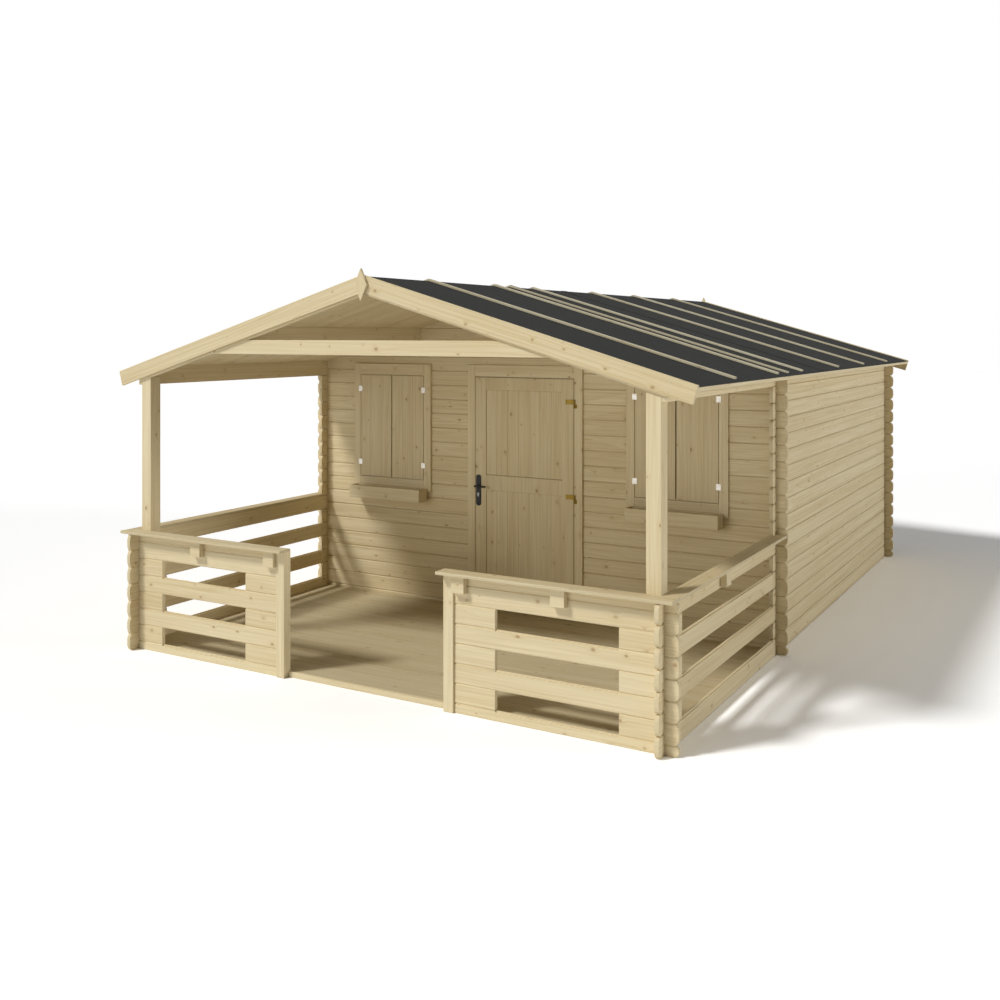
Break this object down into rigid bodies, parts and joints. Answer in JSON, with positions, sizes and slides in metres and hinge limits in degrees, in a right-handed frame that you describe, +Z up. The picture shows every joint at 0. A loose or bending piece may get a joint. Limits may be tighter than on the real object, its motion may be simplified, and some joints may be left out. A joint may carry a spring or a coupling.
{
  "type": "log cabin garden shed",
  "caption": "Pale spruce log cabin shed with a roofed porch, a log railing, a panelled door, shuttered windows with planter boxes and a low felt gable roof.",
  "frame": {"origin": "middle of the footprint's bounding box, at ground level", "axes": "+X right along the front, +Y from the porch to the rear wall, +Z up"},
  "size_m": [4.3662, 6.384, 2.6433],
  "materials": {
    "spruce": "planed, untreated",
    "felt": "mineral roofing felt",
    "hinge_brass": "dull yellow",
    "handle_black": "satin black",
    "hinge_white": "off-white"
  },
  "bodies": {
    "cabin": {"left_wall": "spruce", "right_wall": "spruce", "rear_wall": "spruce", "front_wall_left": "spruce", "front_wall_right": "spruce", "front_gable": "spruce", "cabin_floor": "spruce", "porch_floor": "spruce", "front_rail_left": "spruce", "front_rail_right": "spruce", "side_rail_left": "spruce", "side_rail_right": "spruce", "end_posts": "spruce", "front_caps": "spruce", "side_caps": "spruce", "corbels": "spruce", "corner_posts": "spruce", "porch_plates": "spruce", "front_rafters": "spruce", "tie_beam": "spruce", "purlins": "spruce", "roof_left": "spruce", "roof_right": "spruce", "battens_left": "spruce", "battens_right": "spruce", "eave_fascias": "spruce", "front_barge_left": "spruce", "front_barge_right": "spruce", "rear_barge_left": "spruce", "rear_barge_right": "spruce", "finials": "spruce", "door_casing": "spruce", "door_frame": "spruce", "window_casings": "spruce", "shutters": "spruce", "window_boxes": "spruce", "felt_left": "felt", "felt_right": "felt", "door_hinge_pins": "hinge_brass", "shutter_hinges": "hinge_white"},
    "door": {"door_leaf": "spruce", "door_hinge_straps": "hinge_brass", "handle_plate": "handle_black"},
    "lever": {"handle_lever": "handle_black"}
  },
  "joints": [
    {"name": "door_hinge", "type": "hinge", "parent": "cabin", "child": "door", "pos_m": [0.45, -1.0295, 1.347], "axis": [0, 0, 1], "range_deg": [0, 110]},
    {"name": "lever_turn", "type": "hinge", "parent": "door", "child": "lever", "pos_m": [-0.408, -1.0303, 1.014], "axis": [0, 1, 0], "range_deg": [0, 40], "stiffness_Nm_per_rad": 0.8, "springref_deg": -20.05}
  ]
}
